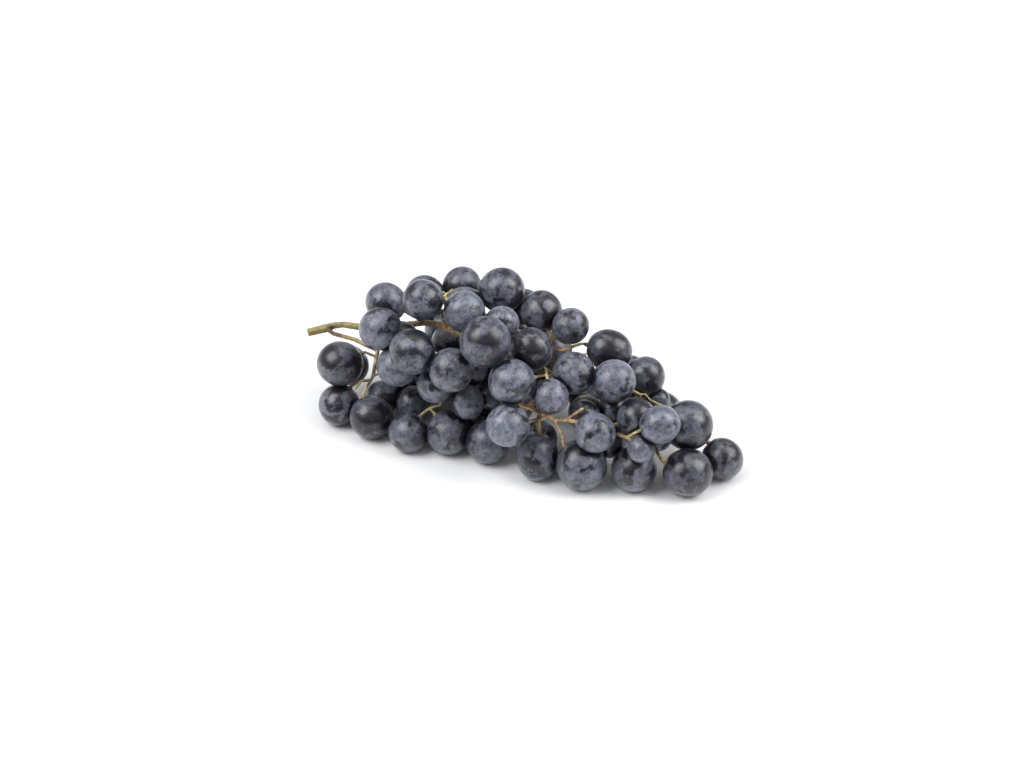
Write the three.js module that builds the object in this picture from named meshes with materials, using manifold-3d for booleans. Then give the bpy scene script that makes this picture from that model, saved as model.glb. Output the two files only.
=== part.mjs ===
// A bunch of black table grapes lying on its side. A woody stem forks into laterals and stalks.
// The berries are fused into the clusters in which they press on each other.
// Millimetres, +Z up, +X along the bunch towards its tip.
// The berries that the photograph shows are read off it, and settle against each other.
// The ones that it can't show, behind and under those, are filled in by a seeded rule.
import * as THREE from "three";
import { mergeVertices } from "three/addons/utils/BufferGeometryUtils.js";
import Module from "manifold-3d";

const wasm = await Module();
wasm.setup();

// The camera of the photograph
const PHOTO_CENTRE = [512, 384]; // px
const FOCAL = 2000; // px
const DISTANCE = 1000; // to the point on the table that it aims at
const NEAR = 150; // how far in front of that point and behind it the bunch can reach
const AZIMUTH = THREE.MathUtils.degToRad(25);
const ELEVATION = THREE.MathUtils.degToRad(35);

// Sizes
const PRESSED = 0.9; // how far two berries of one cluster press into each other
const PRESSED_COARSE = 1.5; // the same where one of them is of the coarser mesh
const LOOSE = 0.3; // how much less still joins the two
const CLEAR = 0.36; // between two pieces that only lie beside each other
const FOOT_SINK = 0.45; // how far a berry on the table is flattened
const SIDE_SLIP = 1.2; // how far a berry that shows may settle sideways
const STEM_ROOM = 0.46; // between a berry and the part of the stem that is placed by hand
const DETAIL = 2; // of the icosahedron of a berry
const COARSE_DETAIL = 1; // the same for those hidden or deep in the bunch
const COARSE = ["b6", "b7", "b8", "b9", "d2", "d4", "d8", "e2", "e4", "e5", "e6", "e7"];
const HIDDEN_RADIUS = [9.2, 11.4];
const HIDDEN_MOST = 40;
const HIDDEN_TRIES = 4000; // places tried for each of them
const HIDDEN_FROM = [-75, -75, 5]; // the box in which they are tried, and its size
const HIDDEN_SPAN = [200, 105, 65];
const HIDDEN_OVERLAP = 0.7; // how far one may lie in another before they settle
const HIDDEN_STEM_ROOM = 1.5;
const RANDOM_SEED = 11;

// Looks
const BARK = { color: 0x8a7a50, roughness: 0.62, metalness: 0 };
const SKIN = { color: 0x2c3348, roughness: 0.4, metalness: 0 };

// Each berry that shows: centre u, v and radius in pixels, then how far it stands out of the bunch's face
const SEEN = {
  a1: [385, 303.3, 20.7, -8],
  a2: [378, 327.7, 22.1, 4],
  a3: [420.5, 299, 21.3, 6],
  a4: [423, 293.8, 20, -16],
  a5: [462.5, 288.5, 19.7, -14],
  a6: [464.6, 310, 21.8, 6],
  a7: [503.9, 288.8, 23.3, 2],
  a8: [504.5, 323.5, 17.8, 2],
  a9: [487.6, 343.3, 25.8, 14],
  b1: [414.2, 350.2, 23.2, 8],
  b2: [341.8, 361.8, 23, 4],
  b3: [451.8, 369.3, 22.3, 4],
  b4: [396.5, 366, 20.7, -10],
  b5: [432.8, 386.5, 18, -6],
  b6: [412.5, 402, 17.5, -32],
  b7: [469.5, 401.5, 17, -14],
  b8: [382, 399, 17, -14],
  b9: [487, 398, 15, -20],
  c1: [543.8, 312.6, 21.2, 2],
  c2: [526, 307.5, 18.3, -16],
  c3: [568.5, 327.6, 18.7, -6],
  c4: [533.5, 349.2, 21.4, 4],
  c5: [607.2, 348.5, 22.2, -2],
  c6: [572.3, 373.5, 21.3, 0],
  c7: [509.4, 380.7, 24.2, 2],
  c8: [616.2, 382.6, 22, 6],
  c9: [647.3, 378, 20, -4],
  d1: [553.6, 397.5, 18.8, 4],
  d2: [661, 400, 11.5, -16],
  d3: [583, 413, 15.5, -14],
  d4: [588, 411.5, 17.5, -26],
  d5: [636.8, 419.8, 19.8, -4],
  d6: [658.9, 424.3, 20, 12],
  d7: [685.5, 425, 25.2, 0],
  d8: [701.3, 426, 14, -20],
  d9: [505.8, 423.8, 21.7, 10],
  e1: [594.2, 432.5, 20.4, 6],
  e2: [541, 436, 18, "table"],
  e3: [641.8, 446.3, 14.2, 4],
  e4: [611, 441, 17, -12],
  e5: [448, 343, 16, -62],
  e6: [612, 412, 15, -22],
  e7: [661, 436, 13.5, -14],
  // The front row, on the table
  f1: [337.4, 403, 20.7, "table"],
  f2: [374, 417.8, 21.8, "table"],
  f3: [407.4, 430.8, 19.8, "table"],
  f4: [449, 433.2, 22.3, "table"],
  f5: [490.7, 442.3, 22.3, "table"],
  f6: [535.5, 458, 22.8, "table"],
  f7: [583.2, 466.5, 25.8, "table"],
  f8: [632.7, 466.8, 22.9, "table"],
  f9: [686.2, 475.3, 24.6, "table"],
  g1: [722.8, 455.3, 21, "table"],
};

// Pixels between the berries where the light comes through from behind
const GAPS = [
  [405, 318],
  [371, 362],
  [487, 309],
  [575, 347],
];

// The bunch's body, through the berries' centres: ellipses across X, at these stations
// x, then the centre's y and z, then the half width and half height
const BODY = [
  [-78, -24, 26, 20, 18],
  [-60, -24, 25, 40, 38],
  [-30, -24, 25, 46, 43],
  [5, -22, 24, 46, 42],
  [32, -22, 22, 46, 34],
  [60, -24, 20, 43, 26],
  [90, -25, 16, 34, 16],
  [110, -26, 13, 22, 10],
  [130, -26, 11, 3, 3],
];

const BODY_END = 12; // how fast the body ends past its first and last station

// The stem's axis: u and v in the photograph, the height above the table and the radius
const AXIS = [
  [308, 332.5, 28, 1.9],
  [316, 330.5, 28.5, 1.8],
  [326, 328.2, 29, 2.1],
  [334, 325.5, 30, 1.6],
  [343, 324.5, 31, 1.5],
  [357, 326.5, 32, 1.6],
  [390, 327, 34, 1.6],
  [424, 322.5, 38, 1.5],
  [440, 325, 38, 1.5],
  [448, 329.5, 37, 1.8],
  [464, 335, 35, 1.5],
  [500, 350, 31, 1.5],
  [545, 372, 27, 1.4],
  [590, 398, 24, 1.3],
  [630, 420, 20, 1.2],
  [662, 440, 16, 1.0],
];

// The stalks that show: points of u, v and the distance from the eye, and the berry that it leads to.
// One with a root comes out from behind the berries: its way from there to the stem is found further down.
const STALKS = [
  {
    radius: 1.0,
    points: [
      [326, 328.5, 993],
      [333, 333.5, 986],
      [345, 337.5, 979],
      [355, 339.5, 974],
      [362, 343.5, 970],
      [371, 347, 967],
      [378, 350.5, 965],
      [376.5, 357, 963],
    ],
  },
  {
    radius: 0.8,
    points: [
      [376.5, 357, 963],
      [374.5, 370, 962],
      [373, 376, 962],
      [371, 380, 962],
    ],
  },
  {
    to: "b2",
    radius: 0.6,
    points: [
      [376.5, 357, 963],
      [370, 354.5, 964],
      [364.5, 352, 965],
    ],
  },
  {
    to: "f1",
    radius: 0.65,
    points: [
      [371, 380, 962],
      [362, 381, 965],
      [351.5, 386, 970],
    ],
  },
  {
    radius: 0.55,
    points: [
      [362, 381, 965],
      [354.5, 389.5, 964],
    ],
  },
  {
    to: "f2",
    radius: 0.65,
    points: [
      [371, 380, 962],
      [366, 388, 960],
      [363, 395, 960],
    ],
  },
  {
    root: true,
    to: "f3",
    radius: 0.65,
    points: [
      [440, 405.5, 954],
      [433, 406, 954],
      [427, 410, 955],
      [421, 415, 955],
    ],
  },
  {
    root: true,
    to: "e1",
    radius: 0.8,
    points: [
      [520, 404, 932],
      [527, 407.5, 930],
      [535, 411, 929],
      [540, 412.5, 928],
      [548, 416, 926],
      [555, 419.5, 925],
      [562, 419.5, 923],
      [570, 420, 920],
      [575, 421.5, 917],
    ],
  },
  {
    to: "e2",
    radius: 0.55,
    points: [
      [538.5, 412, 928],
      [536.5, 421, 936],
    ],
  },
  {
    to: "f6",
    radius: 0.65,
    points: [
      [540, 412.5, 928],
      [540, 421, 931],
      [539.5, 430, 933],
    ],
  },
  {
    to: "f7",
    radius: 0.65,
    points: [
      [555, 419.5, 925],
      [558, 424.5, 925],
      [561, 430, 925],
      [563, 437, 925],
      [563, 444, 926],
    ],
  },
  {
    radius: 0.6,
    points: [
      [567, 420, 921],
      [572, 415.5, 920],
      [577, 411.5, 919],
      [583, 408.5, 917],
    ],
  },
  {
    root: true,
    to: "d6",
    radius: 0.7,
    points: [
      [608, 429, 928],
      [614, 433, 925],
      [620, 436, 922],
      [627, 437.5, 920],
      [633, 434.5, 917],
      [639, 431, 914],
    ],
  },
  {
    root: true,
    to: "d7",
    radius: 0.65,
    points: [
      [645, 394, 940],
      [650, 400, 939],
      [655, 403, 938],
      [661, 405.5, 936],
    ],
  },
  {
    root: true,
    to: "f9",
    radius: 0.7,
    points: [
      [656, 450, 931],
      [659, 457, 928],
      [663, 462, 925],
    ],
  },
  {
    root: true,
    to: "c5",
    radius: 0.65,
    points: [
      [551, 347, 945],
      [556, 350, 944],
      [562, 350.5, 944],
      [568, 348.5, 944],
      [575, 346, 945],
      [582, 343.5, 946],
    ],
  },
  {
    root: true,
    to: "d1",
    radius: 0.6,
    points: [
      [545, 369, 928],
      [546.5, 375, 923],
    ],
  },
  {
    root: true,
    to: "g1",
    radius: 0.65,
    points: [
      [701, 446, 937],
      [707.5, 441.5, 939],
    ],
  },
  {
    root: true,
    to: "a5",
    radius: 0.6,
    points: [
      [443, 292, 959],
      [446.5, 294, 957],
    ],
  },
];

const vec = (x, y, z) => new THREE.Vector3(x, y, z);

// Camera axes
const right = vec(Math.cos(AZIMUTH), Math.sin(AZIMUTH), 0);
const back = vec(
  Math.sin(AZIMUTH) * Math.cos(ELEVATION),
  -Math.cos(AZIMUTH) * Math.cos(ELEVATION),
  Math.sin(ELEVATION),
);
const up = back.clone().cross(right);
const eye = back.clone().multiplyScalar(DISTANCE);

// The direction from the eye through a pixel
function sightline(u, v) {
  return back
    .clone()
    .multiplyScalar(-FOCAL)
    .addScaledVector(right, u - PHOTO_CENTRE[0])
    .addScaledVector(up, PHOTO_CENTRE[1] - v)
    .normalize();
}

// The point at a height that shows at a pixel
function pointAt(u, v, height) {
  const sight = sightline(u, v);
  return eye.clone().addScaledVector(sight, (height - eye.z) / sight.z);
}

// Where a point shows in the photograph, and how far it is along the view
function project(point) {
  const from = point.clone().sub(eye);
  const depth = -from.dot(back);
  return {
    u: PHOTO_CENTRE[0] + (FOCAL * from.dot(right)) / depth,
    v: PHOTO_CENTRE[1] - (FOCAL * from.dot(up)) / depth,
    depth,
  };
}

// Mulberry32
let randomState = RANDOM_SEED;
function random() {
  randomState = (randomState + 0x6d2b79f5) | 0;
  let t = Math.imul(randomState ^ (randomState >>> 15), 1 | randomState);
  t = (t + Math.imul(t ^ (t >>> 7), 61 | t)) ^ t;
  return ((t ^ (t >>> 14)) >>> 0) / 4294967296;
}

// How far out of the body a point is: below 1 is inside
function bodyShare(p) {
  const last = BODY.length - 1;
  const x = THREE.MathUtils.clamp(p.x, BODY[0][0], BODY[last][0]);
  const k = Math.min(
    last - 1,
    BODY.findLastIndex((s) => s[0] <= x),
  );
  const t = (x - BODY[k][0]) / (BODY[k + 1][0] - BODY[k][0]);
  const [here, next] = [BODY[k], BODY[k + 1]];
  const y = here[1] + (next[1] - here[1]) * t;
  const z = here[2] + (next[2] - here[2]) * t;
  const a = here[3] + (next[3] - here[3]) * t;
  const b = here[4] + (next[4] - here[4]) * t;
  const beyond = (p.x - x) / BODY_END;
  return ((p.y - y) / a) ** 2 + ((p.z - z) / b) ** 2 + beyond ** 2;
}

// How far along a line of sight the body's face is, or its nearest way past the body
function faceAlong(sight) {
  let least = Infinity;
  let found = DISTANCE;
  for (let s = DISTANCE - NEAR; s < DISTANCE + NEAR; s += 1) {
    const share = bodyShare(eye.clone().addScaledVector(sight, s));
    if (share < least) {
      least = share;
      found = s;
    }
    if (share < 1) break;
  }
  return found;
}

// The stem's parts that are placed by hand: the axis, and the stalks that show
const axis = {
  radii: AXIS.map((s) => s[3]),
  line: AXIS.map(([u, v, height]) => pointAt(u, v, height)),
};
const shown = STALKS.map((stalk) => ({
  ...stalk,
  radii: stalk.points.map(() => stalk.radius),
  line: stalk.points.map(([u, v, away]) => eye.clone().addScaledVector(sightline(u, v), away)),
}));
const stretches = [axis, ...shown].flatMap((part) =>
  part.line.slice(1).map((end, i) => ({
    line: new THREE.Line3(part.line[i], end),
    radius: Math.max(part.radii[i], part.radii[i + 1]),
  })),
);

// The stretch of the stem that comes nearest to a point
const onStretch = vec(0, 0, 0);
function nearestStretch(centre) {
  const found = { room: Infinity, point: vec(0, 0, 0), radius: 0 };
  for (const stretch of stretches) {
    stretch.line.closestPointToPoint(centre, true, onStretch);
    const room = onStretch.distanceTo(centre) - stretch.radius;
    if (room >= found.room) continue;
    found.room = room;
    found.radius = stretch.radius;
    found.point.copy(onStretch);
  }
  return found;
}

// The berries that show, where the body's face puts them
const berries = [];
for (const [name, [u, v, pixels, stands]] of Object.entries(SEEN)) {
  const sight = sightline(u, v);
  const cosine = -sight.dot(back);
  const onTable = stands === "table";
  const share = (pixels / FOCAL) * cosine;
  const away = onTable ? (eye.z + FOOT_SINK) / (share - sight.z) : faceAlong(sight) - stands;
  berries.push({
    name,
    seen: true,
    onTable,
    sight,
    share,
    away,
    centre: eye.clone().addScaledVector(sight, away),
    radius: share * away,
  });
}

// How far two linked berries press into each other
const isCoarse = (berry) => !berry.seen || COARSE.includes(berry.name);
const pressOf = (a, b) => (isCoarse(a) || isCoarse(b) ? PRESSED_COARSE : PRESSED);

// The gap between two berries, below 0 where they press into each other
const gapOf = (a, b) => a.centre.distanceTo(b.centre) - a.radius - b.radius;

// Moves the berries until none lies deeper in another than the rest gap allows, and the links are closed
const PART_SHARE = 0.5; // of what two berries lack, that each moves in a round
const LINK_SHARE = 0.4;
function settle(rounds, rest, links, recall = 0.02) {
  const push = vec(0, 0, 0);
  for (let round = 0; round < rounds; round++) {
    for (let i = 0; i < berries.length; i++) {
      for (let j = i + 1; j < berries.length; j++) {
        const a = berries[i];
        const b = berries[j];
        push.subVectors(b.centre, a.centre);
        const distance = push.length();
        const wanted = a.radius + b.radius + rest(a, b);
        if (distance < wanted) {
          push.multiplyScalar(((wanted - distance) / distance) * PART_SHARE);
          a.centre.sub(push);
          b.centre.add(push);
        }
      }
    }
    for (const [a, b] of links) {
      push.subVectors(b.centre, a.centre);
      const distance = push.length();
      const wanted = a.radius + b.radius - pressOf(a, b);
      if (distance > wanted) {
        push.multiplyScalar(((wanted - distance) / distance) * LINK_SHARE);
        a.centre.sub(push);
        b.centre.add(push);
      }
    }
    for (const berry of berries) {
      const stretch = nearestStretch(berry.centre);
      const short = berry.radius + STEM_ROOM - stretch.room;
      if (short > 0) berry.centre.add(push.subVectors(berry.centre, stretch.point).setLength(short));
      if (berry.seen) {
        // It keeps its place in the photograph, give or take the side slip
        push.subVectors(berry.centre, eye);
        let away = push.dot(berry.sight);
        away += (berry.away - away) * recall;
        const side = push.addScaledVector(berry.sight, -push.dot(berry.sight)).clampLength(0, SIDE_SLIP);
        berry.centre.copy(eye).addScaledVector(berry.sight, away).add(side);
        berry.radius = berry.share * away;
      } else {
        for (const line of gapLines) {
          push.subVectors(berry.centre, eye);
          push.addScaledVector(line, -push.dot(line));
          const inside = berry.radius + 1 - push.length();
          if (inside > 0) berry.centre.add(push.setLength(inside));
        }
      }
      const foot = berry.radius - FOOT_SINK;
      if (berry.onTable || berry.centre.z < foot) berry.centre.z = foot;
    }
  }
}
const gapLines = GAPS.map(([u, v]) => sightline(u, v));

// Each berry with the two that are nearest to it
function nearestPairs() {
  return berries.flatMap((a) =>
    berries
      .filter((b) => b !== a)
      .sort((b, c) => gapOf(a, b) - gapOf(a, c))
      .slice(0, 2)
      .map((b) => [a, b]),
  );
}
for (let pass = 0; pass < 6; pass++) settle(60, () => -0.4, nearestPairs());

// Whether the berries that show hide a ball from the camera, give or take a margin in pixels
const HIDING_MARGIN = 1.5;
const RIM_POINTS = 12;
function isHidden(centre, radius) {
  const here = project(centre);
  const reach = (FOCAL * radius) / here.depth;
  for (let k = 0; k <= RIM_POINTS; k++) {
    const angle = (k / RIM_POINTS) * 2 * Math.PI;
    const out = k === RIM_POINTS ? 0 : reach;
    const u = here.u + out * Math.cos(angle);
    const v = here.v + out * Math.sin(angle);
    const covered = berries.some((b) => {
      if (!b.seen) return false;
      const at = project(b.centre);
      const shade = (FOCAL * b.radius) / at.depth + HIDING_MARGIN;
      return at.depth < here.depth && Math.hypot(at.u - u, at.v - v) < shade;
    });
    if (!covered) return false;
  }
  return true;
}

// The berries that the photograph can't show: each takes the snuggest of the places tried
const CORE_COST = 3; // of a place deep in the bunch, where fewer berries sit
const LIFT_COST = 0.06; // of each millimetre above the table
for (let count = 0; count < HIDDEN_MOST; count++) {
  let best = null;
  for (let k = 0; k < HIDDEN_TRIES; k++) {
    const radius = THREE.MathUtils.lerp(HIDDEN_RADIUS[0], HIDDEN_RADIUS[1], random());
    const centre = vec(...HIDDEN_FROM.map((from, i) => from + HIDDEN_SPAN[i] * random()));
    const foot = radius - FOOT_SINK;
    if (centre.z < foot + 3) centre.z = foot;
    const share = bodyShare(centre);
    if (share > 1.15) continue;
    if (nearestStretch(centre).room < radius + HIDDEN_STEM_ROOM) continue;
    const gaps = berries.map((b) => b.centre.distanceTo(centre) - b.radius - radius);
    gaps.sort((p, q) => p - q);
    if (gaps[0] < -HIDDEN_OVERLAP) continue;
    const from = centre.clone().sub(eye);
    if (gapLines.some((line) => line.clone().cross(from).length() < radius + 1)) continue;
    if (!isHidden(centre, radius)) continue;
    const lift = centre.z > foot ? LIFT_COST * centre.z : 0;
    const snug = gaps[0] + gaps[1] + gaps[2] + CORE_COST * (1 - share) + lift;
    if (!best || snug < best.snug) best = { snug, centre, radius };
  }
  if (!best) break;
  const onTable = best.centre.z < 0.01 + best.radius - FOOT_SINK;
  berries.push({ name: "h" + count, seen: false, onTable, ...best });
}

// The clusters, each round a place in the bunch: x, y, z
const CLUSTERS = {
  berries_wing: [-44, -44, 56],
  berries_shoulder_front: [-50, -60, 20],
  berries_shoulder_back: [-36, -8, 20],
  berries_top: [2, -42, 62],
  berries_crown: [8, -8, 54],
  berries_middle_face: [-8, -62, 40],
  berries_middle_front: [6, -58, 14],
  berries_middle_back: [2, 6, 26],
  berries_lower_face: [38, -50, 45],
  berries_lower_front: [58, -60, 16],
  berries_lower_back: [52, 0, 16],
  berries_lower_top: [68, -24, 36],
  berries_tip: [105, -34, 18],
};
const LINK_MOST = 3.5; // the widest gap that a cluster closes between two of its berries
const LINK_PIXELS = 3; // the widest gap in the photograph between two berries that it may close
const APART_COST = 20;

// How hard it is to bring two berries together: the gap, and far more if the photograph holds them apart
function linkCost(a, b) {
  const [p, q] = [project(a.centre), project(b.centre)];
  const reach = (FOCAL * a.radius) / p.depth + (FOCAL * b.radius) / q.depth;
  const apart = a.seen && b.seen && Math.hypot(p.u - q.u, p.v - q.v) > reach + LINK_PIXELS;
  return gapOf(a, b) + (apart ? APART_COST : 0);
}

// The berries of a list that hang together with its first one
function connected(list) {
  const found = [list[0]];
  for (const a of found) {
    for (const b of list) if (!found.includes(b) && linkCost(a, b) < LINK_MOST) found.push(b);
  }
  return found;
}

for (const berry of berries) {
  const away = (name) => vec(...CLUSTERS[name]).distanceTo(berry.centre);
  berry.cluster = Object.keys(CLUSTERS).sort((p, q) => away(p) - away(q))[0];
}
// A berry that doesn't reach its cluster joins that of its nearest neighbour
for (const name of Object.keys(CLUSTERS)) {
  const list = berries.filter((b) => b.cluster === name);
  const groups = [];
  while (groups.flat().length < list.length) {
    groups.push(connected(list.filter((b) => !groups.flat().includes(b))));
  }
  groups.sort((p, q) => q.length - p.length);
  for (const stray of groups.slice(1).flat()) {
    const others = berries.filter((b) => b.cluster !== name);
    stray.cluster = others.sort((b, c) => linkCost(stray, b) - linkCost(stray, c))[0].cluster;
  }
}

// The shortest links that hold a cluster together
function linksOf(list) {
  const links = [];
  const joined = [list[0]];
  while (joined.length < list.length) {
    let best = null;
    for (const a of joined) {
      for (const b of list) {
        if (joined.includes(b)) continue;
        const cost = linkCost(a, b);
        if (!best || cost < best.cost) best = { cost, a, b };
      }
    }
    joined.push(best.b);
    links.push([best.a, best.b]);
  }
  return links;
}
const clusterOf = (name) => berries.filter((b) => b.cluster === name);
let links = [];
for (let pass = 0; pass < 4; pass++) {
  links = Object.keys(CLUSTERS).flatMap((name) => linksOf(clusterOf(name)));
  settle(400, (a, b) => (a.cluster === b.cluster ? -pressOf(a, b) : CLEAR), links, 0.001);
}

// A part of a cluster that isn't pressed to the rest of it is a cluster of its own
for (const name of Object.keys(CLUSTERS)) {
  let left = clusterOf(name);
  for (let count = 1; left.length; count++) {
    const found = [left[0]];
    for (const a of found) {
      for (const b of left) {
        if (!found.includes(b) && gapOf(a, b) < LOOSE - pressOf(a, b)) found.push(b);
      }
    }
    for (const berry of found) berry.cluster = count > 1 ? name + "_" + count : name;
    left = left.filter((b) => !found.includes(b));
  }
}

// What is left too close between two clusters comes off both berries
for (let round = 0; round < 4; round++) {
  for (const a of berries) {
    for (const b of berries) {
      if (a.cluster === b.cluster) continue;
      const short = CLEAR - gapOf(a, b);
      if (short > 0) {
        a.radius -= short / 2;
        b.radius -= short / 2;
      }
    }
  }
}

// The free space between the berries, as voxels with the room that each has to the nearest berry
const STEP = 1;
const LOW = [-96, -80, 1.4];
const COUNT = [228, 118, 82];
const ROOM_MOST = 5;
const NARROWEST = 0.85; // the room that a stalk's way needs at least
const room = new Float32Array(COUNT[0] * COUNT[1] * COUNT[2]).fill(ROOM_MOST);
const voxel = (i, j, k) => (k * COUNT[1] + j) * COUNT[0] + i;
const voxelCentre = (index) =>
  vec(
    LOW[0] + STEP * (index % COUNT[0]),
    LOW[1] + STEP * (Math.floor(index / COUNT[0]) % COUNT[1]),
    LOW[2] + STEP * Math.floor(index / (COUNT[0] * COUNT[1])),
  );
const voxelOf = (p) => voxel(...p.toArray().map((value, i) => Math.round((value - LOW[i]) / STEP)));

// Calls `visit` with each voxel within a reach of a point, and its distance
function eachVoxelNear(point, reach, visit) {
  const here = point.toArray();
  const from = here.map((value, i) => Math.max(0, Math.ceil((value - reach - LOW[i]) / STEP)));
  const to = here.map((value, i) => Math.min(COUNT[i] - 1, Math.floor((value + reach - LOW[i]) / STEP)));
  for (let k = from[2]; k <= to[2]; k++) {
    for (let j = from[1]; j <= to[1]; j++) {
      for (let i = from[0]; i <= to[0]; i++) {
        const distance = Math.hypot(
          LOW[0] + STEP * i - here[0],
          LOW[1] + STEP * j - here[1],
          LOW[2] + STEP * k - here[2],
        );
        visit(voxel(i, j, k), distance);
      }
    }
  }
}
for (const berry of berries) {
  eachVoxelNear(berry.centre, berry.radius + ROOM_MOST, (index, distance) => {
    room[index] = Math.min(room[index], distance - berry.radius);
  });
}

// The cheapest ways from the stem through the free space: they keep to the wide places and inside the bunch
const cost = new Float64Array(room.length);
const before = new Int32Array(room.length);
const OUTSIDE_COST = 3;
const OUTSIDE_FROM = 0.8; // the share of the body past which a way costs more
const OUTSIDE_MOST = 1.5;
const NARROW_COST = 2.5;
const COMFORT = 1.9; // the room past which a way isn't narrow
const price = new Float64Array(room.length);
for (let index = 0; index < room.length; index++) {
  if (room[index] < NARROWEST) continue;
  const share = bodyShare(voxelCentre(index));
  if (share > OUTSIDE_MOST) continue;
  const narrow = Math.max(0, 1 - room[index] / COMFORT);
  price[index] = 1 + NARROW_COST * narrow + OUTSIDE_COST * Math.max(0, share - OUTSIDE_FROM);
}

// A binary heap of [cost, voxel]
class Heap {
  items = [];
  push(item) {
    const items = this.items;
    let at = items.length;
    items.push(item);
    while (at > 0) {
      const above = (at - 1) >> 1;
      if (items[above][0] <= item[0]) break;
      items[at] = items[above];
      at = above;
    }
    items[at] = item;
  }
  pop() {
    const items = this.items;
    const top = items[0];
    const last = items.pop();
    if (items.length) {
      let at = 0;
      for (;;) {
        let below = 2 * at + 1;
        if (below >= items.length) break;
        if (below + 1 < items.length && items[below + 1][0] < items[below][0]) below++;
        if (items[below][0] >= last[0]) break;
        items[at] = items[below];
        at = below;
      }
      items[at] = last;
    }
    return top;
  }
}
const neighbours = [];
for (const dx of [-1, 0, 1]) {
  for (const dy of [-1, 0, 1]) {
    for (const dz of [-1, 0, 1]) {
      if (dx || dy || dz) neighbours.push([dx, dy, dz, Math.hypot(dx, dy, dz) * STEP]);
    }
  }
}
function findWays(sources) {
  cost.fill(Infinity);
  before.fill(-1);
  const heap = new Heap();
  for (const index of sources) {
    cost[index] = 0;
    heap.push([0, index]);
  }
  while (heap.items.length) {
    const [paid, index] = heap.pop();
    if (paid > cost[index]) continue;
    const i = index % COUNT[0];
    const j = Math.floor(index / COUNT[0]) % COUNT[1];
    const k = Math.floor(index / (COUNT[0] * COUNT[1]));
    for (const [dx, dy, dz, length] of neighbours) {
      const [a, b, c] = [i + dx, j + dy, k + dz];
      if (a < 0 || b < 0 || c < 0 || a >= COUNT[0] || b >= COUNT[1] || c >= COUNT[2]) continue;
      const next = voxel(a, b, c);
      if (!price[next]) continue;
      const total = paid + length * price[next];
      if (total < cost[next]) {
        cost[next] = total;
        before[next] = index;
        heap.push([total, next]);
      }
    }
  }
}

// The stem as a tree of joints: each has a place, the joint before it and what it carries
const joints = [];
const jointAt = new Map();
function addJoint(place, parent, more = {}) {
  const joint = { place: place.clone(), parent, children: [], load: 0, fixed: false, ...more };
  if (parent) parent.children.push(joint);
  joints.push(joint);
  return joint;
}
const SPACING = 2; // between two joints
function along(line, radii) {
  const found = [];
  for (let i = 0; i + 1 < line.length; i++) {
    const parts = Math.max(1, Math.round(line[i].distanceTo(line[i + 1]) / SPACING));
    for (let k = 0; k < parts; k++) {
      found.push([
        line[i].clone().lerp(line[i + 1], k / parts),
        THREE.MathUtils.lerp(radii[i], radii[i + 1], k / parts),
      ]);
    }
  }
  found.push([line.at(-1), radii.at(-1)]);
  return found;
}
function nearestJoint(place, among) {
  return among.reduce((best, joint) =>
    joint.place.distanceTo(place) < best.place.distanceTo(place) ? joint : best,
  );
}
function addLine(line, radii, parent) {
  const made = [];
  for (const [place, radius] of along(line, radii)) {
    const joint = addJoint(place, made.at(-1) ?? parent, { fixed: true, radius });
    jointAt.set(voxelOf(place), joint);
    made.push(joint);
  }
  return made;
}

// The way back from a voxel to the stem, as joints; the last one is returned
function addWay(index) {
  const way = [];
  let at = index;
  while (at >= 0 && !jointAt.has(at)) {
    way.push(at);
    at = before[at];
  }
  let parent = jointAt.get(at);
  for (const next of way.reverse()) {
    parent = addJoint(voxelCentre(next), parent);
    jointAt.set(next, parent);
  }
  return parent;
}

// The joint that carries a berry: its stalk ends just off the skin, on the side of the joint
function addEnd(berry, parent) {
  const off = parent.place.clone().sub(berry.centre);
  const place = berry.centre.clone().addScaledVector(off.normalize(), berry.radius + CLEAR);
  const end = addJoint(place, parent, { berry, fixed: true });
  let joint = end;
  while (joint) {
    joint.load += 1;
    joint = joint.parent;
  }
}

addLine(axis.line, axis.radii, null);
findWays(jointAt.keys());
for (const stalk of shown) {
  let parent = nearestJoint(stalk.line[0], joints);
  if (stalk.root) {
    let root = null;
    eachVoxelNear(stalk.line[0], 3, (index, distance) => {
      if (before[index] < 0) return;
      if (!root || distance < root.distance) root = { index, distance };
    });
    parent = addWay(root.index);
  }
  const made = addLine(stalk.root ? stalk.line : stalk.line.slice(1), stalk.radii, parent);
  stalk.last = made.at(-1);
}
for (const stalk of shown) {
  if (stalk.to) addEnd(berries.find((b) => b.name === stalk.to), stalk.last);
  else stalk.last.load = 1;
}

// The other berries: each is carried from where the way is short and the stalk hides behind it
const BEHIND = 14; // cost of a stalk on the camera's side of a berry that shows
const INWARD = 6; // cost of one on the outer side
const DEEP = 0.6; // share of the body within which a stalk is out of sight
findWays(jointAt.keys());
for (const berry of berries) {
  // The stalks of the berries deep in the bunch are out of sight
  const deep = bodyShare(berry.centre) < DEEP && isCoarse(berry);
  if (deep || shown.some((s) => s.to === berry.name)) continue;
  const outward = vec(0, berry.centre.y + 24, berry.centre.z - 25).normalize();
  let best = null;
  eachVoxelNear(berry.centre, berry.radius + 2.4, (index, distance) => {
    if (distance < berry.radius + NARROWEST || (before[index] < 0 && !jointAt.has(index))) return;
    const off = voxelCentre(index).sub(berry.centre).normalize();
    const shows = berry.seen ? BEHIND * Math.max(0, off.dot(back) + 0.15) : 0;
    const score = cost[index] + shows + INWARD * Math.max(0, off.dot(outward) + 0.2);
    if (!best || score < best.score) best = { index, score };
  });
  addEnd(berry, addWay(best.index));
}

// What a stalk's thickness is for the berries that it carries
const STALK_RADIUS = 0.6;
const LOAD_POWER = 0.33;
for (const joint of joints) joint.radius ??= STALK_RADIUS * Math.max(1, joint.load) ** LOAD_POWER;

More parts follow.
